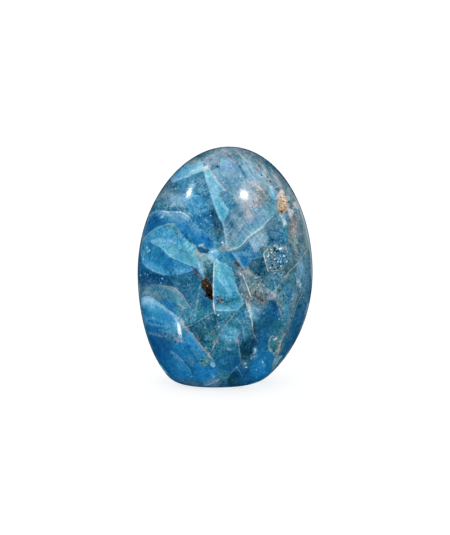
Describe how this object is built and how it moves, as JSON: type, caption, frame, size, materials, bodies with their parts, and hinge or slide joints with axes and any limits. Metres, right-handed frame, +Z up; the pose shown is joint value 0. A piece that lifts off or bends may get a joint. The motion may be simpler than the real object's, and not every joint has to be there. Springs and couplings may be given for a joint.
{
  "type": "polished stone freeform",
  "caption": "Egg-shaped polished stone with flattened front and back and a flat ground base that it stands on, for display.",
  "frame": {"origin": "middle of the part's box at the level of its flat base", "axes": "+Z up, along the stone's height; +X to the right when the shown face is looked at; -Y is the way the shown face looks"},
  "size_m": [0.066, 0.045, 0.09],
  "materials": {
    "apatite": "polished blue stone with pale veins and brown inclusions"
  },
  "bodies": {
    "root": {"stone": "apatite"}
  },
  "joints": []
}
